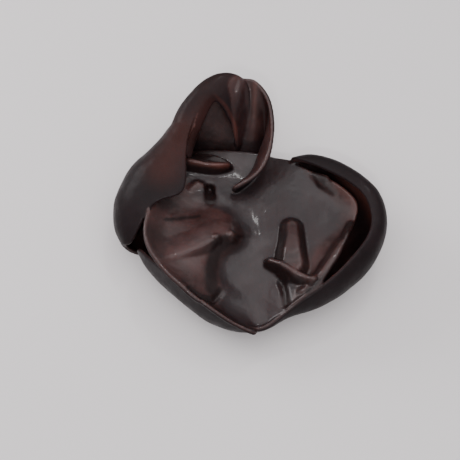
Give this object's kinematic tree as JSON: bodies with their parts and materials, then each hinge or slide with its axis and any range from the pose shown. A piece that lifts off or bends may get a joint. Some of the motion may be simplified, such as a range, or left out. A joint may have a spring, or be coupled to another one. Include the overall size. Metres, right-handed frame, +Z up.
{
  "type": "soaked wood ear mushroom",
  "caption": "Soaked wood ear mushroom: a folded, lobed fruiting body of thin, dark, gelatinous flesh that rests on the flat cut of its foot.",
  "frame": {"origin": "middle of the flat cut under the foot", "axes": "+Z up from the cut, +Y towards the hood behind, +X towards the cup at the side"},
  "size_m": [0.111, 0.1053, 0.0414],
  "materials": {
    "soaked_flesh": "wet and glossy on the inner face, velvety grey-brown on the outer face, slightly translucent where thin"
  },
  "bodies": {
    "root": {"fruit_body": "soaked_flesh"}
  },
  "joints": []
}
